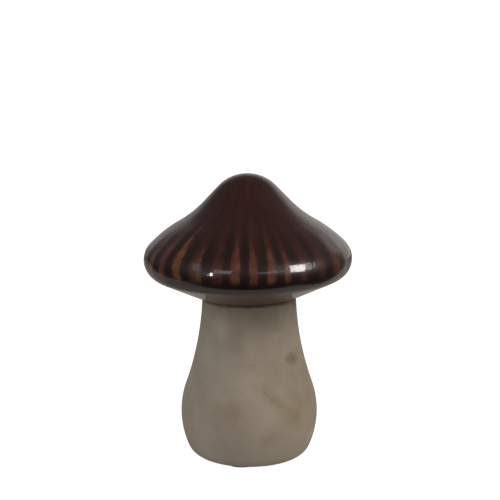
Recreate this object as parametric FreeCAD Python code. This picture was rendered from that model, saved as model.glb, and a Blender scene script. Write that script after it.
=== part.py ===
"""Ceramic mushroom ornament: a glazed, fluted, hollow cap luted onto a bare, hollow, bulbous stem.

Both are slip-cast stoneware shells. The stem ends in a spigot that enters a collar under the cap, a
thin ring of fired slip fills the joint, and three felt discs lie under the foot. Millimetres, +Z up.
The origin is on the surface that the ornament stands on, on the stem's axis, and -Y is its front.
"""
import FreeCAD
import Part
import math
import os

Vector = FreeCAD.Vector
ORIGIN = Vector(0, 0, 0)
UP = Vector(0, 0, 1)
FRONT = Vector(0, -1, 0)
FULL_TURN = 360.0
UPSIDE_DOWN = 180.0

# Felt discs under the foot
pad_count = 3
pad_diameter = 18.0
pad_thickness = 1.2
pad_circle_radius = 15.2
front_pad_azimuth = -14.5

# Stem, from the foot's flat underside up to its shoulder
stem_height = 85.4
stem_wall = 4.5
bulb_radius = 36.8
bulb_height = 23.7
bulb_arc_radius = 46.7
waist_radius = 24.9
waist_arc_radius = 156.0
foot_corner_radius = 9.0
foot_thickness = 5.0
hollow_corner_radius = 5.0
drain_hole_radius = 5.0
drain_hole_bevel = 0.8

# Spigot on the stem's shoulder
shoulder_thickness = 5.0
shoulder_bevel = 0.6
spigot_radius = 16.6
spigot_wall = 4.0
spigot_height = 8.0
spigot_bevel = 0.8

# Cap, from its seat up to its crown
cap_diameter = 110.0
cap_wall = 4.5
flank_slope = 45.9
rim_slope = 45.1
seat_radius = 24.4
cap_lean = 0.6
cap_offset = 0.5

# The cap keeps its outline's proportions, as shares of its diameter
cap_height_share = 0.598
crown_radius_share = 0.192
flank_hollow_share = 0.562
shoulder_arc_share = 0.648
rim_radius_share = 0.102
rim_height_share = 0.193
cap_height = cap_height_share * cap_diameter
crown_radius = crown_radius_share * cap_diameter
flank_hollow_radius = flank_hollow_share * cap_diameter
shoulder_arc_radius = shoulder_arc_share * cap_diameter
rim_radius = rim_radius_share * cap_diameter
rim_height = rim_height_share * cap_diameter

# Collar inside the cap, round the hole that takes the spigot
collar_clearance = 0.9
collar_wall = 4.0
collar_height = 10.0
collar_bevel = 1.0

# Shallow flutes over the cap's shoulder and rim, with a rib left between each two
flute_count = 34
flute_depth = 0.3
flute_end_slope = 105.0
front_rib_azimuth = 2.3

# Shares of a flute's depth at the poles of its faces: from rib to rib, over the shoulder, and round
# the rim
flute_dish_shares = (0, 1, 0)
flute_start_shares = (0, 0, 0.5, 1, 1)
flute_end_shares = (1, 1, 0.5, 0, 0)

# Fired slip between the shoulder and the seat
slip_thickness = 0.7
slip_bead_height = 0.5
slip_edge_step = 0.3

# The hollows are turned from straight stretches, which stray this far from a true arc at most
hollow_flatness = 0.8

# How far cutting bodies run past what they cut
cut_overrun = 1.0

# How closely an edge must match a wanted ring, as a share of the bevel put on it
edge_match_share = 0.1


def at(radius, height):
    """Point of a section in the X-Z plane."""
    return Vector(radius, 0, height)


def normal(slope):
    """Outward direction of an outline, in the X-Z plane, where it falls at this slope in degrees."""
    turn = math.radians(slope)
    return at(math.sin(turn), math.cos(turn))


def downhill(slope):
    """Direction along an outline that falls outwards at this slope."""
    turn = math.radians(slope)
    return at(math.cos(turn), -math.sin(turn))


def arc(centre, radius, slope_from, slope_to):
    """Arc round a centre, between the points whose outward directions have these slopes."""
    middle = (slope_from + slope_to) / 2
    points = [centre + normal(slope) * radius for slope in (slope_from, middle, slope_to)]
    return Part.Arc(*points).toShape()


def polyline(*points):
    """Straight edges from point to point."""
    return [Part.LineSegment(*ends).toShape() for ends in zip(points, points[1:])]


def stretches(edge, flatness):
    """How many straight stretches stand in for an edge without straying further from it than this."""
    if not isinstance(edge.Curve, Part.Circle):
        return 1
    turn = edge.Length / edge.Curve.Radius
    longest_turn = 2 * math.acos(1 - flatness / edge.Curve.Radius)
    return math.ceil(turn / longest_turn)


def straightened(edges, flatness):
    """Straight edges in place of an outline's arcs."""
    points = edges[0].discretize(2)[:1]
    for edge in edges:
        points += edge.discretize(stretches(edge, flatness) + 1)[1:]
    return polyline(*points)


def revolved(edges):
    """Solid of a closed section turned once about the vertical axis."""
    return Part.Face(Part.Wire(edges)).revolve(ORIGIN, UP, FULL_TURN)


def circular_edges(solid, radius, height, tolerance):
    """Round edges of a turned solid at one radius and height."""
    found = []
    for edge in solid.Edges:
        if edge.Degenerated or not isinstance(edge.Curve, Part.Circle):
            continue
        same_size = abs(edge.Curve.Radius - radius) < tolerance
        same_place = abs(edge.Curve.Center.z - height) < tolerance
        if same_size and same_place:
            found.append(edge)
    return found


def bevelled(solid, bevel, rings):
    """Solid with its ring edges, given as (radius, height), bevelled."""
    nearness = bevel * edge_match_share
    edges = [edge for ring in rings for edge in circular_edges(solid, *ring, nearness)]
    return solid.makeChamfer(bevel, edges)


# Stem

def stem_circles(inset, base_height, corner_radius):
    """Centres of the stem's corner, bulb and waist arcs, for an outline drawn in by inset."""
    bulb_arc = bulb_arc_radius - inset
    bulb = at(bulb_radius - bulb_arc_radius, bulb_height)
    corner_height = base_height + corner_radius
    corner_reach = math.sqrt((bulb_arc - corner_radius) ** 2 - (bulb.z - corner_height) ** 2)
    corner = at(bulb.x + corner_reach, corner_height)
    waist_x = waist_radius + waist_arc_radius
    arcs_apart = bulb_arc_radius + waist_arc_radius
    waist_rise = math.sqrt(arcs_apart ** 2 - (waist_x - bulb.x) ** 2)
    return corner, bulb, at(waist_x, bulb.z + waist_rise)


def stem_side(inset, base_height, corner_radius, top_height):
    """Edges up the stem's side, and the points where they leave the base and reach the top."""
    corner, bulb, waist = stem_circles(inset, base_height, corner_radius)
    waist_arc = waist_arc_radius + inset
    corner_slope = math.degrees(math.atan2(corner.x - bulb.x, corner.z - bulb.z))
    waist_slope = math.degrees(math.atan2(waist.x - bulb.x, waist.z - bulb.z))
    top_slope = math.degrees(math.acos((waist.z - top_height) / waist_arc))
    edges = [
        arc(corner, corner_radius, UPSIDE_DOWN, corner_slope),
        arc(bulb, bulb_arc_radius - inset, corner_slope, waist_slope),
        arc(waist, -waist_arc, waist_slope, top_slope),
    ]
    return edges, at(corner.x, base_height), waist - normal(top_slope) * waist_arc


def make_stem():
    """Hollow stem with a drain hole in its foot and an open spigot on its shoulder."""
    outside, foot_edge, shoulder_edge = stem_side(0, 0, foot_corner_radius, stem_height)
    ceiling = stem_height - shoulder_thickness
    inside, floor_edge, ceiling_edge = stem_side(
        stem_wall, foot_thickness, hollow_corner_radius, ceiling
    )
    spigot_top = stem_height + spigot_height
    spigot_bore = spigot_radius - spigot_wall
    foot = polyline(
        at(drain_hole_radius, foot_thickness),
        at(drain_hole_radius, 0),
        foot_edge,
    )
    spigot = polyline(
        shoulder_edge,
        at(spigot_radius, stem_height),
        at(spigot_radius, spigot_top),
        at(spigot_bore, spigot_top),
        at(spigot_bore, ceiling),
        ceiling_edge,
    )
    floor = polyline(floor_edge, at(drain_hole_radius, foot_thickness))
    inside = straightened(inside, hollow_flatness)
    stem = revolved(foot + outside + spigot + inside[::-1] + floor)
    stem = bevelled(stem, drain_hole_bevel, [(drain_hole_radius, 0)])
    stem = bevelled(stem, spigot_bevel, [(spigot_radius, spigot_top)])
    stem = bevelled(stem, shoulder_bevel, [(shoulder_edge.x, stem_height)])
    stem.translate(UP * pad_thickness)
    return stem


# Cap, drawn with its seat at height zero

def cap_circles():
    """Centres of the crown, flank, shoulder and rim arcs, and the slope where flank meets shoulder."""
    crown = at(0, cap_height - crown_radius)
    rim = at(cap_diameter / 2 - rim_radius, rim_height)
    shoulder = rim - normal(rim_slope) * (shoulder_arc_radius - rim_radius)
    # The flank's circle touches the straight slope below the crown, and the shoulder's circle
    abreast = crown + normal(flank_slope) * (crown_radius + flank_hollow_radius)
    offset = abreast - shoulder
    reach = shoulder_arc_radius + flank_hollow_radius
    back = offset.dot(downhill(flank_slope))
    distance = -back - math.sqrt(back ** 2 - offset.dot(offset) + reach ** 2)
    flank = abreast + downhill(flank_slope) * distance
    towards = flank - shoulder
    join_slope = math.degrees(math.atan2(towards.x, towards.z))
    return crown, flank, shoulder, rim, join_slope


def underside_slope():
    """Slope of the line from the seat's edge that touches the rim from below."""
    rim = cap_circles()[3]
    across = rim - at(seat_radius, 0)
    return math.degrees(math.atan2(across.z, across.x) - math.asin(rim_radius / across.Length))


def peak_edges(inset):
    """Edges from the crown's top down to where the shoulder begins, drawn in by inset."""
    crown, flank, _, _, join_slope = cap_circles()
    crown_edge = crown + normal(flank_slope) * (crown_radius - inset)
    flank_edge = flank - normal(flank_slope) * (flank_hollow_radius + inset)
    return [
        arc(crown, crown_radius - inset, 0, flank_slope),
        *polyline(crown_edge, flank_edge),
        arc(flank, -flank_hollow_radius - inset, flank_slope, join_slope),
    ]


def rim_end(inset):
    """Point where the rim's arc runs into the underside, drawn in by inset."""
    rim = cap_circles()[3]
    return rim + normal(UPSIDE_DOWN - underside_slope()) * (rim_radius - inset)


def sector(edges):
    """Faces of a stretch of outline, turned through one flute's pitch about the X-Z plane."""
    pitch = FULL_TURN / flute_count
    outline = Part.Wire(edges)
    outline.rotate(ORIGIN, UP, -pitch / 2)
    return outline.revolve(ORIGIN, UP, pitch).Faces


def height_halfway(shares):
    """Height of a curve halfway along, from its evenly spaced poles."""
    last = len(shares) - 1
    return sum(math.comb(last, index) * share for index, share in enumerate(shares)) / 2 ** last


def flute_face(centre, radius, slopes, depth_shares):
    """Turned face along one arc of the outline, dished from rib to rib by moving its poles in."""
    surface = sector([arc(centre, radius, *slopes)])[0].toNurbs().Faces[0].Surface
    last_row = len(depth_shares) - 1
    surface.increaseDegree(len(flute_dish_shares) - 1, last_row)
    full_move = flute_depth / height_halfway(flute_dish_shares)
    for column, across in enumerate(flute_dish_shares, start=1):
        for row, down in enumerate(depth_shares):
            slope = slopes[0] + (slopes[1] - slopes[0]) * row / last_row
            inward = normal(slope) * -full_move * across * down
            pole = surface.getPole(column, row + 1)
            azimuth = math.atan2(pole.y, pole.x)
            move = Vector(inward.x * math.cos(azimuth), inward.x * math.sin(azimuth), inward.z)
            surface.setPole(column, row + 1, pole + move)
    return surface.toShape()


def make_cap_blank():
    """Solid fluted cap: one sector's faces, repeated round the axis and sewn together."""
    _, _, shoulder, rim, join_slope = cap_circles()
    over_shoulder = (join_slope, rim_slope)
    round_rim = (rim_slope, flute_end_slope)
    underside = [arc(rim, rim_radius, flute_end_slope, UPSIDE_DOWN - underside_slope())]
    underside += polyline(rim_end(0), at(seat_radius, 0), ORIGIN)
    flute = [
        flute_face(shoulder, shoulder_arc_radius, over_shoulder, flute_start_shares),
        flute_face(rim, rim_radius, round_rim, flute_end_shares),
    ]
    skin = []
    for plain in (peak_edges(0), underside):
        skin += Part.Wire(plain).revolve(ORIGIN, UP, FULL_TURN).Faces
    for number in range(flute_count):
        azimuth = front_rib_azimuth + (number + 1 / 2) * FULL_TURN / flute_count
        for face in flute:
            skin.append(face.rotated(ORIGIN, UP, azimuth - FULL_TURN / 4))
    skin = Part.makeCompound(skin)
    skin.sewShape()
    return Part.Solid(skin)


def make_cap():
    """Hollow cap with a collar round its hole, seated on the slip with its slight lean to the left."""
    _, _, shoulder, rim, join_slope = cap_circles()
    slope = underside_slope()
    hole = spigot_radius + collar_clearance
    collar = hole + collar_wall
    hollow_end = rim_end(cap_wall)
    collar_foot = hollow_end.z - (hollow_end.x - collar) * math.tan(math.radians(slope))
    inside = peak_edges(cap_wall)
    inside.append(arc(shoulder, shoulder_arc_radius - cap_wall, join_slope, rim_slope))
    inside.append(arc(rim, rim_radius - cap_wall, rim_slope, UPSIDE_DOWN - slope))
    inside = straightened(inside, hollow_flatness)
    inside += polyline(
        hollow_end,
        at(collar, collar_foot),
        at(collar, collar_height),
        at(0, collar_height),
        at(0, cap_height - cap_wall),
    )
    well_depth = cut_overrun + collar_height + cut_overrun
    well = Part.makeCylinder(hole, well_depth, UP * -cut_overrun)
    cap = make_cap_blank().cut(revolved(inside)).cut(well)
    cap = bevelled(cap, collar_bevel, [(hole, collar_height), (collar, collar_height)])
    cap.rotate(ORIGIN, FRONT, cap_lean)
    cap.translate(Vector(-cap_offset, 0, pad_thickness + stem_height + slip_thickness))
    return cap


# Joint and foot

def make_slip_ring(cap):
    """Fired slip that fills the gap between stem and cap."""
    shoulder_edge = stem_side(0, 0, foot_corner_radius, stem_height)[2].x
    bead_radius = shoulder_edge - shoulder_bevel - slip_edge_step
    sleeve_radius = spigot_radius + collar_clearance + slip_edge_step
    flange_top = slip_thickness + slip_bead_height
    sleeve_top = spigot_height - spigot_bevel
    blank = revolved(polyline(
        at(spigot_radius, 0),
        at(bead_radius, 0),
        at(bead_radius, flange_top),
        at(sleeve_radius, flange_top),
        at(sleeve_radius, sleeve_top),
        at(spigot_radius, sleeve_top),
        at(spigot_radius, 0),
    ))
    blank.translate(UP * (pad_thickness + stem_height))
    return blank.cut(cap)


def make_pads():
    """Felt discs, evenly spaced under the foot."""
    pads = []
    for number in range(pad_count):
        pad = Part.makeCylinder(pad_diameter / 2, pad_thickness)
        pad.translate(FRONT * pad_circle_radius)
        pad.rotate(ORIGIN, UP, front_pad_azimuth + number * FULL_TURN / pad_count)
        pads.append(pad)
    return Part.makeCompound(pads)


def main():
    os.makedirs("parts", exist_ok=True)
    cap = make_cap()
    pieces = {
        "cap": cap,
        "stem": make_stem(),
        "slip_ring": make_slip_ring(cap),
        "foot_pads": make_pads(),
    }
    for name, shape in pieces.items():
        shape.exportStep(f"parts/{name}.step")
        print(name, "solids", len(shape.Solids), "valid", shape.isValid(), "mm3", round(shape.Volume))


main()
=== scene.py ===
"""Looks of the ceramic mushroom ornament: streaked gloss glaze, bare stoneware, slip and felt pads.

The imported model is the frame. The cap and the stem are turned again here as smooth skins, from the
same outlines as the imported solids. The slip ring and the pads keep their solids. Metres, +Z up, and
-Y is the front. Azimuths run from the front to the right.
"""
import math

import bmesh
import bpy
from mathutils import Matrix, Vector, noise


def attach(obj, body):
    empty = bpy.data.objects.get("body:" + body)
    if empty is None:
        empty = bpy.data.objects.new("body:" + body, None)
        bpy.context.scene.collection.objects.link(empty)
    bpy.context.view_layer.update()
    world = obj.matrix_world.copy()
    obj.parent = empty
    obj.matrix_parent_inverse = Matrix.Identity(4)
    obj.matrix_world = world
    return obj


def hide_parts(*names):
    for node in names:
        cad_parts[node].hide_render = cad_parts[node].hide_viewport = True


MM = 0.001
FULL_TURN = 2 * math.pi


def colour(red, green, blue):
    """Linear colour of screen values from 0 to 255."""
    def linear(value):
        share = value / 255
        return share / 12.92 if share <= 0.04045 else ((share + 0.055) / 1.055) ** 2.4
    return (linear(red), linear(green), linear(blue), 1)


# Sizes of the stem, from the foot's flat underside
pad_thickness = 1.2 * MM
stem_height = 85.4 * MM
stem_wall = 4.5 * MM
bulb_radius = 36.8 * MM
bulb_height = 23.7 * MM
bulb_arc_radius = 46.7 * MM
waist_radius = 24.9 * MM
waist_arc_radius = 156 * MM
foot_corner_radius = 9 * MM
foot_thickness = 5 * MM
hollow_corner_radius = 5 * MM
drain_hole_radius = 5 * MM
drain_hole_bevel = 0.8 * MM
shoulder_thickness = 5 * MM
shoulder_bevel = 0.6 * MM
spigot_radius = 16.6 * MM
spigot_wall = 4 * MM
spigot_height = 8 * MM
spigot_bevel = 0.8 * MM

# Sizes of the cap, from its seat
slip_thickness = 0.7 * MM
cap_diameter = 110 * MM
cap_height = 0.598 * cap_diameter
cap_wall = 4.5 * MM
crown_radius = 0.192 * cap_diameter
flank_slope = math.radians(45.9)
flank_hollow_radius = 0.562 * cap_diameter
shoulder_arc_radius = 0.648 * cap_diameter
rim_slope = math.radians(45.1)
rim_radius = 0.102 * cap_diameter
rim_height = 0.193 * cap_diameter
seat_radius = 24.4 * MM
cap_lean = math.radians(0.6)
cap_offset = 0.5 * MM
collar_radius = 17.5 * MM
collar_wall = 4 * MM
collar_height = 10 * MM

# Shallow flutes of the cap, which run between ribs and which the glaze nearly fills
flute_count = 34
flute_depth = 0.1 * MM
flute_top = 40 * MM
flute_foot = 16 * MM
rib_azimuth = math.radians(2.3)

# The ribs stray from even spacing by a slow wave round the cap
rib_sway = math.radians(2.3)
rib_sway_waves = 4
rib_sway_azimuth = math.radians(31)

# Fineness of the turned skins
outline_step = 1.2 * MM
shortest_step = outline_step / 100
column_count = 306
hand_wobble = 0.12 * MM
hand_wobble_size = 26 * MM

# Zones of the glaze, by two heights over the cap's seat: none of it at the first, all at the second
amber_top = (42 * MM, 27 * MM)
amber_foot = (16 * MM, 20 * MM)
amber_widening = (39 * MM, 25 * MM)
gold_tips = (26 * MM, 18 * MM)
gap_top = (47 * MM, 32 * MM)
moss_foot = (22 * MM, 34 * MM)
# Painted shade: the glaze is darkened in a band down the rim's lower edge, below the streaks
painted_rim_shade_heights = (20.5 * MM, 15.5 * MM)
underside_edge = (13 * MM, 8.5 * MM)
gloss_streaks_foot = (20 * MM, 28 * MM)

# How far the zones stray in height: at random from streak to streak, and lower on one side
streak_scatter = 30 * MM
foot_scatter = 4 * MM
streak_tilt = 4 * MM
streak_tilt_azimuth = math.radians(52)
streak_lift = 1 * MM

# The amber is stronger and more golden on every crest of a wave round the cap
amber_waves = 7
amber_wave_azimuth = math.radians(15)
amber_wave_strength = 0.06
amber_wave_gold = 0.3

# Noises of the glaze: sizes across in radians, and radians that count as much as a metre of height
run_size = 0.11
broad_run_size = 0.2
fine_run_size = 0.09
streak_height_size = 0.13
streak_strength_size = 0.12
run_pace = 6.0
patch_size = 5.5 * MM

# The noises move the ridge by these shares, and amber lies where it is over the threshold, with a
# soft edge
ridge_run_share = 1.6
ridge_patch_share = 0.6
amber_threshold = (1.05, 0.6)
amber_edge = 0.32

# Grades of the glaze: two values of a noise or of the ridge, and the results at them
cloud_range = (0.35, 0.65)
strength_grade = (0.36, 0.6, 0.3, 1.12)
patchiness_grade = (0.35, 0.6, 0.7, 1.0)
moss_grade = (0.45, 0.6, 0.0, 1.0)
gap_grade = (0.65, 0.25, 0.0, 0.8)
gold_run_grade = (*cloud_range, -0.35, 0.5)
gold_patch_grade = (0.4, 0.6, -0.2, 0.3)
gold_tip_share = 0.6
gloss_streak_grade = (0.42, 0.66, 1.0, 0.5)
pit_darkness = 0.8
pit_dullness = 0.9

# Colours of the glaze; where there are two, a noise mixes them
glaze_dome = (colour(54, 31, 29), colour(65, 38, 35))
glaze_gaps = (colour(42, 28, 25), colour(27, 34, 19))
# Painted shade: darker glaze colour for the band at the rim's lower edge
glaze_painted_rim_shade = colour(38, 25, 25)
glaze_underside = colour(80, 46, 40)
glaze_amber = (colour(106, 57, 51), colour(122, 80, 46))
glaze_pit = colour(18, 13, 12)

# Pits and pinholes: spacing, radius, and share of the places that have one
glaze_pits = (3.7 * MM, 0.55 * MM, 0.8)
glaze_pinholes = (2 * MM, 0.42 * MM, 0.7)
clay_pinholes = (3.2 * MM, 0.22 * MM, 0.35)

# Relief of the glaze: depth and strength
ripple_size = 9 * MM
ripple_relief = (0.6 * MM, 0.12)
run_relief = (0.5 * MM, 0.15)
pit_relief = (0.1 * MM, 0.3)

# Relief of the clay, the slip and the felt
grain_relief = (0.12 * MM, 0.5)
pinhole_relief = (0.2 * MM, 0.8)
slip_relief = (0.2 * MM, 0.6)
felt_relief = (0.3 * MM, 0.8)

# Colours of the clay, the slip and the felt
clay_clouds = (colour(168, 154, 136), colour(184, 172, 156))
clay_grain = colour(128, 112, 94)
# Painted light: cooler, paler clay colour that stands in for bounce light at the foot
clay_painted_bounce_light = colour(164, 166, 155)
clay_pinhole = colour(96, 84, 72)
slip_clouds = (colour(112, 90, 72), colour(142, 118, 94))
felt_fibres = (colour(34, 30, 28), colour(66, 58, 54))

# Grades of the clay by its grain, by its height for the painted bounce light at the foot, and by its
# clouds, and how much a pinhole darkens it
grain_grade = (0.62, 0.75, 0.0, 0.2)
painted_bounce_light_grade = (20 * MM, 0.0, 0.0, 0.5)
clay_roughness = (0.3, 0.7, 0.78, 0.9)
pinhole_darkness = 0.6

# Stains on the stem, with painted shadow and painted light below the cap among them: azimuth in
# degrees, height over the floor and size in mm, colour, strength. Each ends at the first of two
# shares of its size and is full at the second.
stain_reach = (1.6, 0.5)
rust = colour(150, 124, 100)
speck = colour(132, 112, 72)
stains_and_painted_shade = (
    (45.0, 58.9, 4.2, colour(108, 99, 82), 0.5),
    (52.5, 57.9, 4.6, colour(104, 96, 80), 0.6),
    (39.5, 32.0, 12.0, colour(156, 136, 94), 0.5),
    (42.0, 29.5, 3.5, colour(150, 114, 84), 0.2),
    (24.5, 39.1, 6.0, colour(150, 134, 96), 0.45),
    # Painted light: a pale patch that lifts the shade below the cap on the left
    (-34.0, 76.0, 9.0, colour(200, 187, 168), 0.6),
    (-13.7, 74.0, 6.5, rust, 0.35),
    (-12.5, 66.5, 7.0, rust, 0.35),
    (-13.0, 33.6, 8.0, colour(158, 134, 104), 0.35),
    (-27.0, 32.5, 7.5, colour(156, 136, 108), 0.35),
    (16.1, 43.5, 7.0, colour(156, 130, 98), 0.4),
    (65.0, 15.2, 5.0, colour(206, 200, 190), 0.5),
    # Painted shadow of the cap on the stem's top, right of the front
    (14.0, 80.0, 7.0, colour(120, 106, 80), 0.22),
    (31.0, 80.0, 9.0, colour(116, 104, 78), 0.32),
    (16.5, 18.5, 6.5, colour(146, 128, 92), 0.3),
    (4.9, 57.2, 1.2, speck, 0.35),
    (7.6, 52.1, 1.0, speck, 0.3),
    (14.3, 43.6, 1.3, speck, 0.35),
    (20.0, 39.9, 1.4, speck, 0.35),
    (29.5, 35.7, 1.2, speck, 0.3),
    (150.0, 52.0, 8.0, colour(150, 122, 96), 0.4),
    (-130.0, 28.0, 9.0, colour(152, 134, 94), 0.45),
)

# Camera, measured from the photograph
camera_target = Vector((0, 0, 78.2 * MM))
camera_distance = 658.6 * MM
camera_elevation = math.radians(13)
camera_lens = 88.83
camera_sensor = 36
camera_nearest = 10 * MM
camera_shift = (0.0016, 0.127)

# Room that the gloss reflects, as radiances
room_level = 0.10
overhead_level = 0.04
below_level = 0.02
overhead_rise = (0.5, 0.95)
horizon_rise = (-0.1, 0.1)

# Pale backdrop behind the object, by turns from straight behind it and by rise
backdrop_left = (math.radians(-34), math.radians(-20))
backdrop_right = (math.radians(57), math.radians(36))
backdrop_top = (math.radians(39), math.radians(22))
backdrop_levels = (0.37, 0.68)
backdrop_tint = (1.0, 0.94, 0.90, 1)
room_tint = (1, 1, 1, 1)

# Pale paper under the object, which ends a little in front of it; corners in mm
paper_corners = ((-165, -64), (100, -66), (130, 70), (1300, 1400), (-1350, 1400))
paper_drop = 1 * MM
paper_level = 0.68
paper_tint = (1.0, 0.92, 0.87)

# Floor and wall that only the camera sees
floor_centre_radius = 0.4
floor_radius = 2.5
floor_bend_radius = 1.0
floor_bend_steps = 15
floor_bend_turn = 0.1
wall_top = 4.0
floor_level = 0.5
floor_glow = 0.98

# Lamps: name, azimuth, elevation, distance, width, height, radiance, tint, roll; angles in degrees
lamp_aim = Vector((0, 0, 110 * MM))
soft_boxes = (
    ("softbox_right", 58, 36, 1.2, 0.8, 0.8, 4.1, (1.0, 0.95, 0.87), 0),
    ("softbox_left", -52, 25, 1.5, 1.2, 1.2, 2.0, (0.97, 0.98, 1.0), 0),
)
reflected_lamps = (
    ("window_right", 57, 19, 1.5, 0.44, 0.80, 14.0, (1.0, 0.97, 0.94), -12),
    ("window_far_right", 64, 22, 1.6, 0.75, 0.8, 3.0, (1.0, 0.94, 0.92), -12),
    ("lamp_left", -40.5, 2, 1.5, 0.07, 0.34, 30.0, (1, 1, 1), 0),
    ("window_left", -60, 27, 1.5, 0.36, 0.9, 0.85, (0.6, 0.8, 1.0), 22),
    ("shelf_left", -29, 16, 1.5, 0.50, 0.40, 1.8, (0.95, 0.97, 1.0), -4),
    ("shelf_right", 25, 13, 1.5, 0.56, 0.24, 1.1, (0.95, 0.97, 1.0), 10),
)


# Outlines, as points (radius, height)

def normal(slope):
    """Outward direction of an outline where it falls at this slope."""
    return Vector((math.sin(slope), math.cos(slope)))


def downhill(slope):
    """Direction along an outline that falls outwards at this slope."""
    return Vector((math.cos(slope), -math.sin(slope)))


def arc(centre, radius, slope_from, slope_to):
    """Points of an arc round a centre, evenly spaced."""
    length = abs(radius * (slope_to - slope_from))
    steps = max(3, math.ceil(length / outline_step))
    return [
        centre + normal(slope_from + (slope_to - slope_from) * step / steps) * radius
        for step in range(steps + 1)
    ]


def joined(*runs):
    """One outline from runs of points, without the points that two runs share."""
    points = []
    for run in runs:
        for point in run:
            if not points or (point - points[-1]).length > shortest_step:
                points.append(point)
    return points


def filled(points):
    """Outline with more points along its longer straight stretches."""
    full = [points[0]]
    for start, end in zip(points, points[1:]):
        steps = max(1, round((end - start).length / (2 * outline_step)))
        full += [start.lerp(end, step / steps) for step in range(1, steps + 1)]
    return full


def stem_side(inset, base_height, corner_radius, top_height):
    """Points up the stem's side, drawn in by inset."""
    bulb_arc = bulb_arc_radius - inset
    waist_arc = waist_arc_radius + inset
    bulb = Vector((bulb_radius - bulb_arc_radius, bulb_height))
    corner_height = base_height + corner_radius
    corner_reach = math.sqrt((bulb_arc - corner_radius) ** 2 - (bulb.y - corner_height) ** 2)
    corner = Vector((bulb.x + corner_reach, corner_height))
    waist_x = waist_radius + waist_arc_radius
    waist_rise = math.sqrt((bulb_arc + waist_arc) ** 2 - (waist_x - bulb.x) ** 2)
    waist = Vector((waist_x, bulb.y + waist_rise))
    corner_slope = math.atan2(corner.x - bulb.x, corner.y - bulb.y)
    waist_slope = math.atan2(waist.x - bulb.x, waist.y - bulb.y)
    top_slope = math.acos((waist.y - top_height) / waist_arc)
    return joined(
        arc(corner, corner_radius, math.pi, corner_slope),
        arc(bulb, bulb_arc, corner_slope, waist_slope),
        arc(waist, -waist_arc, waist_slope, top_slope),
    )


def stem_outline():
    """Closed outline of the hollow stem, from the drain hole's bevel and up its outside."""
    outside = stem_side(0, 0, foot_corner_radius, stem_height)
    ceiling = stem_height - shoulder_thickness
    inside = stem_side(stem_wall, foot_thickness, hollow_corner_radius, ceiling)
    spigot_top = stem_height + spigot_height
    spigot_bore = spigot_radius - spigot_wall
    shoulder = outside[-1].x - shoulder_bevel
    foot = [
        Vector((drain_hole_radius, foot_thickness)),
        Vector((drain_hole_radius, drain_hole_bevel)),
        Vector((drain_hole_radius + drain_hole_bevel, 0)),
        outside[0],
    ]
    spigot = [
        outside[-1] - Vector((0, shoulder_bevel)),
        Vector((shoulder, stem_height)),
        Vector((spigot_radius, stem_height)),
        Vector((spigot_radius, spigot_top - spigot_bevel)),
        Vector((spigot_radius - spigot_bevel, spigot_top)),
        Vector((spigot_bore, spigot_top)),
        Vector((spigot_bore, ceiling)),
    ]
    side = [point for point in outside if point.y < stem_height - shoulder_bevel]
    return filled(joined(foot, side, spigot, inside[::-1]))


def cap_side(inset):
    """Points down the cap's side from its top to the seat's edge, drawn in by inset."""
    crown = Vector((0, cap_height - crown_radius))
    rim = Vector((cap_diameter / 2 - rim_radius, rim_height))
    shoulder = rim - normal(rim_slope) * (shoulder_arc_radius - rim_radius)
    abreast = crown + normal(flank_slope) * (crown_radius + flank_hollow_radius)
    offset = abreast - shoulder
    reach = shoulder_arc_radius + flank_hollow_radius
    back = offset.dot(downhill(flank_slope))
    distance = -back - math.sqrt(back ** 2 - offset.dot(offset) + reach ** 2)
    flank = abreast + downhill(flank_slope) * distance
    join_slope = math.atan2(flank.x - shoulder.x, flank.y - shoulder.y)
    across = rim - Vector((seat_radius, 0))
    underside = math.atan2(across.y, across.x) - math.asin(rim_radius / across.length)
    return joined(
        arc(crown, crown_radius - inset, 0, flank_slope),
        arc(flank, -flank_hollow_radius - inset, flank_slope, join_slope),
        arc(shoulder, shoulder_arc_radius - inset, join_slope, rim_slope),
        arc(rim, rim_radius - inset, rim_slope, math.pi - underside),
    )


def cap_outline():
    """Open outline of the hollow cap, from the crown round rim and collar to the hollow's top."""
    outside = cap_side(0)
    inside = cap_side(cap_wall)
    collar_outside = collar_radius + collar_wall
    end = inside[-1]
    fall = end.y / (end.x - seat_radius + cap_wall)
    collar_foot = end.y - (end.x - collar_outside) * fall
    collar = [
        Vector((seat_radius, 0)),
        Vector((collar_radius, 0)),
        Vector((collar_radius, collar_height)),
        Vector((collar_outside, collar_height)),
        Vector((collar_outside, collar_foot)),
    ]
    return filled(joined(outside, collar, inside[::-1]))


# Meshes

def wobble(point):
    """How far a hand-finished surface stands in from its true form at this point."""
    return hand_wobble * (noise.noise(point / hand_wobble_size) - 1) / 2


def rib_phase(azimuth):
    """Position between ribs, in turns from one rib to the next; whole numbers are ribs."""
    sway = rib_sway * math.cos(rib_sway_waves * (azimuth - rib_sway_azimuth))
    return (azimuth - rib_azimuth + sway) * flute_count / FULL_TURN


def flute(azimuth, height):
    """How far a flute stands in at this azimuth and height of the cap."""
    middle = (flute_top + flute_foot) / 2
    reach = (flute_top - flute_foot) / 2
    along = max(0, 1 - ((height - middle) / reach) ** 2)
    across = (1 - math.cos(FULL_TURN * rib_phase(azimuth))) / 2
    return -flute_depth * along * across


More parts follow.
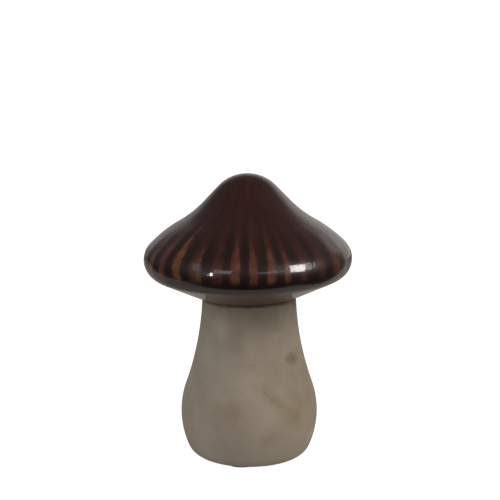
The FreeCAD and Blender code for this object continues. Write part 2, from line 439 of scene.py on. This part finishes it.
def turned(name, outline, closed, relief):
    """Object turned from an outline, with relief(point, azimuth) standing out along its normals."""
    mesh = bmesh.new()
    # A closed outline runs up its outside, and an open one down its outside
    side = -1 if closed else 1
    rings = []
    count = len(outline)
    for index, point in enumerate(outline):
        before = outline[index - 1] if closed or index else point
        after = outline[(index + 1) % count] if closed or index + 1 < count else point
        along = (after - before).normalized()
        outward = Vector((-along.y, along.x)) * side
        if point.x < shortest_step:
            rings.append([mesh.verts.new((0, 0, point.y))])
            continue
        ring = []
        for column in range(column_count):
            azimuth = FULL_TURN * column / column_count
            direction = Vector((math.sin(azimuth), -math.cos(azimuth), 0))
            place = direction * point.x + Vector((0, 0, point.y))
            height = relief(place, azimuth)
            place += (direction * outward.x + Vector((0, 0, outward.y))) * height
            ring.append(mesh.verts.new(place))
        rings.append(ring)
    pairs = list(zip(rings, rings[1:]))
    if closed:
        pairs.append((rings[-1], rings[0]))
    for upper, lower in pairs:
        for column in range(column_count):
            corners = [upper[column % len(upper)], upper[(column + 1) % len(upper)]]
            corners += [lower[(column + 1) % len(lower)], lower[column % len(lower)]]
            mesh.faces.new(dict.fromkeys(corners))
    bmesh.ops.recalc_face_normals(mesh, faces=mesh.faces)
    data = bpy.data.meshes.new(name)
    mesh.to_mesh(data)
    mesh.free()
    data.polygons.foreach_set("use_smooth", [True] * len(data.polygons))
    piece = bpy.data.objects.new(name, data)
    bpy.context.scene.collection.objects.link(piece)
    return piece


def make_cap():
    """Glazed cap, seated on the slip with its slight lean."""
    def relief(place, azimuth):
        outside = place.z > 0 and place.xy.length > seat_radius
        return wobble(place) + (flute(azimuth, place.z) if outside else 0)
    cap = turned("cap_skin", cap_outline(), False, relief)
    seat = Vector((-cap_offset, 0, pad_thickness + stem_height + slip_thickness))
    cap.matrix_world = Matrix.Translation(seat) @ Matrix.Rotation(cap_lean, 4, (0, -1, 0))
    return cap


def make_stem():
    """Bare stoneware stem."""
    def relief(place, azimuth):
        return wobble(place)
    stem = turned("stem_skin", stem_outline(), True, relief)
    stem.location.z = pad_thickness
    return stem


# Materials

class Graph:
    """Nodes of one material, added and linked in short calls. An input is a number or an output."""

    def __init__(self, name):
        self.material = bpy.data.materials.new(name)
        self.material.use_nodes = True
        self.nodes = self.material.node_tree.nodes
        self.links = self.material.node_tree.links
        self.shader = self.nodes["Principled BSDF"]
        self.place = self.node("ShaderNodeTexCoord").outputs["Object"]

    def feed(self, socket, value):
        """Links an output to a socket, or sets the socket's value."""
        if isinstance(value, bpy.types.NodeSocket):
            self.links.new(value, socket)
        else:
            socket.default_value = value

    def node(self, kind, inputs=None, **settings):
        """New node with its settings, and its inputs by name or number."""
        new = self.nodes.new(kind)
        for name, value in settings.items():
            setattr(new, name, value)
        for key, value in (inputs or {}).items():
            self.feed(new.inputs[key], value)
        return new

    def finish(self, **inputs):
        """Sets inputs of the shader, with underscores for the blanks in their names."""
        for name, value in inputs.items():
            self.feed(self.shader.inputs[name.replace("_", " ")], value)

    def math(self, operation, *values):
        """Result of a math node."""
        return self.node("ShaderNodeMath", dict(enumerate(values)), operation=operation).outputs[0]

    def product(self, first, *others):
        """Product of several values."""
        for other in others:
            first = self.math("MULTIPLY", first, other)
        return first

    def wave(self, azimuth, count, crest):
        """Wave from -1 to 1 round the axis, with this many crests and one at this azimuth."""
        turn = self.math("SUBTRACT", azimuth, crest)
        return self.math("COSINE", self.math("MULTIPLY", turn, float(count)))

    def stray(self, value, clouds, amount):
        """Value that a noise around 0.5 moves by up to half the amount."""
        return self.math("MULTIPLY_ADD", clouds, amount, self.math("SUBTRACT", value, amount / 2))

    def step(self, value, low, high):
        """Smooth step from 0 at low to 1 at high, which may be the smaller one."""
        inputs = {"Value": value, "From Min": low, "From Max": high}
        return self.node("ShaderNodeMapRange", inputs, interpolation_type="SMOOTHSTEP").outputs[0]

    def grade(self, value, low, high, to_low=0.0, to_high=1.0):
        """Straight grade between two values, held at its ends."""
        inputs = {"Value": value, "From Min": low, "From Max": high}
        inputs |= {"To Min": to_low, "To Max": to_high}
        return self.node("ShaderNodeMapRange", inputs).outputs[0]

    def mix(self, factor, first, second):
        """Mixed colour."""
        new = self.node("ShaderNodeMix", data_type="RGBA")
        self.feed(new.inputs[0], factor)
        self.feed(new.inputs[6], first)
        self.feed(new.inputs[7], second)
        return new.outputs[2]

    def noise(self, place, size, detail=2.0, roughness=0.5):
        """Cloudy noise around 0.5, with clouds of about this size in the place's unit."""
        inputs = {"Vector": place, "Scale": 1 / size, "Detail": detail, "Roughness": roughness}
        return self.node("ShaderNodeTexNoise", inputs).outputs["Fac"]

    def pits(self, spacing, radius, share):
        """1 in small round pits, for this share of cells of this spacing."""
        cells = self.node("ShaderNodeTexVoronoi", {"Vector": self.place, "Scale": 1 / spacing})
        chance = self.node("ShaderNodeSeparateColor", {0: cells.outputs["Color"]}).outputs[0]
        near = self.step(cells.outputs["Distance"], radius / spacing, radius / spacing / 2)
        return self.product(near, self.math("LESS_THAN", chance, share))

    def bump(self, height, distance, strength, below=None):
        """Bumped normal, on top of another one."""
        inputs = {"Height": height, "Distance": distance, "Strength": strength}
        new = self.node("ShaderNodeBump", inputs)
        if below is not None:
            self.feed(new.inputs["Normal"], below)
        return new.outputs["Normal"]


def make_glaze():
    """Dark brown gloss glaze that breaks to amber streaks on the ribs, with painted shade along the
    rim's lower edge.
    """
    g = Graph("cap_glaze_gloss")
    x, y, z = g.node("ShaderNodeSeparateXYZ", {0: g.place}).outputs
    azimuth = g.math("ARCTAN2", x, g.product(y, -1.0))

    # Runs of the glaze follow the slope, so they are long down the cap and narrow across it
    around = g.node("ShaderNodeCombineXYZ", {0: x, 1: y, 2: 0.0}).outputs[0]
    around = g.node("ShaderNodeVectorMath", {0: around}, operation="NORMALIZE").outputs[0]
    lengthwise = g.node("ShaderNodeCombineXYZ", {2: g.product(z, run_pace)}).outputs[0]
    along = g.node("ShaderNodeVectorMath", {0: around, 1: lengthwise}, operation="ADD").outputs[0]
    runs = g.noise(along, run_size, detail=3.0, roughness=0.6)
    broad_runs = g.noise(along, broad_run_size)
    patches = g.noise(g.place, patch_size, detail=3.0, roughness=0.6)

    # Ridge is highest on the ribs, and the noises make the streaks' edges uneven
    sway = g.wave(azimuth, rib_sway_waves, rib_sway_azimuth)
    swayed = g.math("MULTIPLY_ADD", sway, rib_sway, azimuth)
    ridge = g.math("MULTIPLY_ADD", g.wave(swayed, flute_count, rib_azimuth), 0.5, 0.5)
    ridge = g.stray(ridge, runs, ridge_run_share)
    ridge = g.stray(ridge, patches, ridge_patch_share)

    # Heights that stray from streak to streak
    level = g.stray(z, g.noise(around, streak_height_size, detail=1.0), streak_scatter)
    tilt = g.wave(azimuth, 1, streak_tilt_azimuth)
    level = g.math("MULTIPLY_ADD", tilt, streak_tilt, g.math("SUBTRACT", level, streak_lift))
    foot_level = g.stray(z, runs, foot_scatter)

    # How much amber there is; the streaks widen and grow stronger towards the rim
    crests = g.wave(azimuth, amber_waves, amber_wave_azimuth)
    strength = g.noise(around, streak_strength_size, detail=1.0)
    strength = g.math("MULTIPLY_ADD", crests, amber_wave_strength, strength)
    threshold = g.grade(level, *amber_widening, *amber_threshold)
    amber = g.product(
        g.step(g.math("SUBTRACT", ridge, threshold), -amber_edge, amber_edge),
        g.step(level, *amber_top),
        g.step(foot_level, *amber_foot),
        g.grade(strength, *strength_grade),
        g.grade(patches, *patchiness_grade),
    )

    # Colours from the dome down to the underside, with the amber over them
    dome = g.mix(g.grade(runs, *cloud_range), *glaze_dome)
    moss = g.product(g.grade(patches, *moss_grade), g.step(level, *moss_foot))
    gap = g.product(g.step(level, *gap_top), g.grade(ridge, *gap_grade))
    body = g.mix(gap, dome, g.mix(moss, *glaze_gaps))
    # Painted shade: the rim's lower edge is darkened towards this colour
    body = g.mix(g.step(foot_level, *painted_rim_shade_heights), body, glaze_painted_rim_shade)
    body = g.mix(g.step(z, *underside_edge), body, glaze_underside)
    gold = g.grade(broad_runs, *gold_run_grade)
    gold = g.math("ADD", gold, g.grade(patches, *gold_patch_grade))
    gold = g.math("ADD", gold, g.grade(level, *gold_tips, 0.0, gold_tip_share))
    gold = g.math("MULTIPLY_ADD", crests, amber_wave_gold, gold)
    body = g.mix(amber, body, g.mix(gold, *glaze_amber))

    # The gloss is duller in fine streaks on the flank and nearly absent in pits and pinholes
    pits = g.pits(*glaze_pits)
    body = g.mix(g.product(pits, pit_darkness), body, glaze_pit)
    streaks = g.noise(along, fine_run_size, detail=4.0, roughness=0.65)
    streaks = g.grade(streaks, *gloss_streak_grade)
    streaks = g.grade(g.step(z, *gloss_streaks_foot), 0.0, 1.0, 1.0, streaks)
    holes = g.math("MAXIMUM", pits, g.pits(*glaze_pinholes))
    coat = g.product(streaks, g.math("MULTIPLY_ADD", holes, -pit_dullness, 1.0))
    surface = g.bump(g.noise(g.place, ripple_size, detail=1.0), *ripple_relief)
    surface = g.bump(runs, *run_relief, below=surface)
    surface = g.bump(g.product(pits, -1.0), *pit_relief, below=surface)
    g.finish(
        Base_Color=body,
        Roughness=0.38,
        Specular_IOR_Level=0.25,
        Normal=surface,
        Coat_Weight=coat,
        Coat_Roughness=0.05,
        Coat_IOR=1.5,
        Coat_Normal=surface,
    )
    return g.material


def stem_point(azimuth, height):
    """Point on the stem's side, by azimuth in degrees and height in millimetres over the floor."""
    level = height * MM - pad_thickness
    side = stem_side(0, 0, foot_corner_radius, stem_height)
    nearest = min(side, key=lambda point: abs(point.y - level))
    turn = math.radians(azimuth)
    return Vector((math.sin(turn) * nearest.x, -math.cos(turn) * nearest.x, level))


def make_stoneware():
    """Bare matt stoneware, clouded and stained by the firing, with painted shadow and painted light
    below the cap and painted bounce light at the foot.
    """
    g = Graph("stem_stoneware_matt")
    clouds = g.noise(g.place, size=30 * MM, detail=4.0, roughness=0.6)
    grain = g.noise(g.place, size=1.1 * MM, roughness=0.7)
    height = g.node("ShaderNodeSeparateXYZ", {0: g.place}).outputs[2]
    body = g.mix(g.grade(clouds, *cloud_range), *clay_clouds)
    body = g.mix(g.grade(grain, *grain_grade), body, clay_grain)
    # Painted light: the stem turns cooler and paler towards the foot, standing in for bounce light
    # from below
    body = g.mix(g.grade(height, *painted_bounce_light_grade), body, clay_painted_bounce_light)
    swirl = g.noise(g.place, size=6 * MM, detail=3.0, roughness=0.6)
    # Real stains, and painted shadow and painted light below the cap
    for azimuth, level, size, tint, strength in stains_and_painted_shade:
        centre = {0: g.place, 1: tuple(stem_point(azimuth, level))}
        reach = g.node("ShaderNodeVectorMath", centre, operation="DISTANCE").outputs["Value"]
        reach = g.math("MULTIPLY_ADD", swirl, size * MM, reach)
        inside = g.step(reach, *(size * share * MM for share in stain_reach))
        body = g.mix(g.product(inside, strength), body, tint)
    pinholes = g.pits(*clay_pinholes)
    body = g.mix(g.product(pinholes, pinhole_darkness), body, clay_pinhole)
    surface = g.bump(grain, *grain_relief)
    surface = g.bump(g.product(pinholes, -1.0), *pinhole_relief, below=surface)
    roughness = g.grade(clouds, *clay_roughness)
    g.finish(Base_Color=body, Roughness=roughness, Specular_IOR_Level=0.25, Normal=surface)
    return g.material


def make_slip():
    """Fired slip in the joint, darkened by glaze that ran into it."""
    g = Graph("joint_slip_fired")
    clouds = g.noise(g.place, size=4 * MM, detail=3.0, roughness=0.6)
    body = g.mix(g.grade(clouds, *cloud_range), *slip_clouds)
    surface = g.bump(g.noise(g.place, size=1.2 * MM), *slip_relief)
    g.finish(Base_Color=body, Roughness=0.6, Normal=surface)
    return g.material


def make_felt():
    """Dark grey felt."""
    g = Graph("pad_felt_fibres")
    fibres = g.noise(g.place, size=0.7 * MM, detail=4.0, roughness=0.8)
    body = g.mix(g.grade(fibres, *cloud_range), *felt_fibres)
    surface = g.bump(fibres, *felt_relief)
    g.finish(Base_Color=body, Roughness=0.95, Sheen_Weight=0.3, Normal=surface)
    return g.material


def make_plain(name, level, tint=(1, 1, 1), glow=0.0):
    """Plain matt material for the floor and the paper, which may glow."""
    g = Graph(name)
    g.finish(
        Base_Color=(*(level * part for part in tint), 1),
        Roughness=0.9,
        Specular_IOR_Level=0.0,
        Emission_Color=(1, 1, 1, 1),
        Emission_Strength=glow,
    )
    return g.material


# Surroundings

def make_sweep():
    """Pale floor that curves up into a wall all round. Only the camera sees it."""
    turns = [floor_bend_turn * step for step in range(1, floor_bend_steps + 1)]
    edge = Vector((floor_radius, 0))
    wall_radius = floor_radius + floor_bend_radius
    outline = joined(
        [Vector((0, 0)), Vector((floor_centre_radius, 0)), edge],
        [edge + Vector((math.sin(turn), 1 - math.cos(turn))) * floor_bend_radius for turn in turns],
        [Vector((wall_radius, floor_bend_radius)), Vector((wall_radius, wall_top))],
    )
    sweep = turned("floor_sweep", outline, False, lambda place, azimuth: 0)
    sweep.data.materials.append(make_plain("floor_pale", floor_level, glow=floor_glow))
    for rays in ("diffuse", "glossy", "shadow", "transmission", "volume_scatter"):
        setattr(sweep, f"visible_{rays}", False)
    return sweep


class WorldGraph(Graph):
    """Nodes of the room light, by direction."""

    def __init__(self):
        world = bpy.data.worlds.new("studio")
        bpy.context.scene.world = world
        world.use_nodes = True
        self.nodes = world.node_tree.nodes
        self.links = world.node_tree.links
        self.shader = self.nodes["Background"]
        self.place = self.node("ShaderNodeTexCoord").outputs["Generated"]


def make_world():
    """Dim room, with a pale backdrop behind the object that the gloss reflects when it grazes."""
    g = WorldGraph()
    x, y, z = g.node("ShaderNodeSeparateXYZ", {0: g.place}).outputs
    turn = g.math("ARCTAN2", x, y)
    rise = g.math("ARCSINE", z)
    backdrop = g.product(
        g.step(turn, *backdrop_left), g.step(turn, *backdrop_right), g.step(rise, *backdrop_top)
    )
    pale = g.grade(turn, backdrop_left[1], backdrop_right[1], *backdrop_levels)
    above = g.grade(z, *overhead_rise, room_level, overhead_level)
    room = g.grade(z, *horizon_rise, below_level, above)
    g.finish(
        Strength=g.grade(backdrop, 0.0, 1.0, room, pale),
        Color=g.mix(backdrop, room_tint, backdrop_tint),
    )


def make_paper():
    """Pale paper that the camera doesn't see, but the object's surfaces do."""
    data = bpy.data.meshes.new("paper")
    corners = [(x * MM, y * MM, -paper_drop) for x, y in paper_corners]
    data.from_pydata(corners, [], [tuple(range(len(corners)))])
    paper = bpy.data.objects.new("paper", data)
    bpy.context.scene.collection.objects.link(paper)
    data.materials.append(make_plain("paper_pale", paper_level, paper_tint))
    paper.visible_camera = False
    return paper


def make_lamp(name, azimuth, elevation, distance, width, height, radiance, tint, roll):
    """Area lamp that faces the cap, at angles in degrees, with this radiance."""
    data = bpy.data.lights.new(name, "AREA")
    data.shape = "RECTANGLE"
    data.size = width
    data.size_y = height
    data.energy = radiance * math.pi * width * height
    data.color = tint
    lamp = bpy.data.objects.new(name, data)
    bpy.context.scene.collection.objects.link(lamp)
    turn = math.radians(azimuth)
    rise = math.radians(elevation)
    level = math.cos(rise)
    away = Vector((math.sin(turn) * level, -math.cos(turn) * level, math.sin(rise)))
    lamp.location = lamp_aim + away * distance
    rolled = Matrix.Rotation(math.radians(roll), 3, "Z")
    lamp.rotation_euler = (away.to_track_quat("Z", "Y").to_matrix() @ rolled).to_euler()
    lamp.visible_camera = False
    return lamp


def make_lights():
    """Soft boxes that light the matt surfaces, and lamps that show as highlights in the gloss."""
    for values in soft_boxes:
        make_lamp(*values).visible_glossy = False
    for values in reflected_lamps:
        make_lamp(*values).visible_diffuse = False


def make_camera():
    """Camera at the photograph's angle, shifted so that the object stands where it does there."""
    data = bpy.data.cameras.new("camera")
    data.lens = camera_lens
    data.sensor_width = camera_sensor
    data.shift_x, data.shift_y = camera_shift
    data.clip_start = camera_nearest
    camera = bpy.data.objects.new("camera", data)
    bpy.context.scene.collection.objects.link(camera)
    away = Vector((0, -math.cos(camera_elevation), math.sin(camera_elevation)))
    camera.location = camera_target + away * camera_distance
    camera.rotation_euler = (math.pi / 2 - camera_elevation, 0, 0)
    bpy.context.scene.camera = camera


def dress(node, material):
    """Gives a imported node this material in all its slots."""
    slots = node.material_slots
    if not slots:
        node.data.materials.append(material)
    for entry in slots:
        entry.material = material


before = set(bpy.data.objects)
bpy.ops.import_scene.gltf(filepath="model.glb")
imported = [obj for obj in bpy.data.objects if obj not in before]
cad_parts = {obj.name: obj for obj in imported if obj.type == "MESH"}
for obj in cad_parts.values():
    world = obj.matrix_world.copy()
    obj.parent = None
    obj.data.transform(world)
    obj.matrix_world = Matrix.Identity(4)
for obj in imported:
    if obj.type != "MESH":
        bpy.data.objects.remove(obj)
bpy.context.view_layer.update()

make_camera()
make_world()
make_lights()
make_sweep()
make_paper()

cap = make_cap()
cap.data.materials.append(make_glaze())
stem = make_stem()
stem.data.materials.append(make_stoneware())
for piece, node, slot in ((cap, "cap", "cap_glaze"), (stem, "stem", "stem_stoneware")):
    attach(piece, "root")
    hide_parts(node)
dress(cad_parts["slip_ring"], make_slip())
dress(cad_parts["foot_pads"], make_felt())

bpy.context.scene.view_settings.view_transform = "Standard"
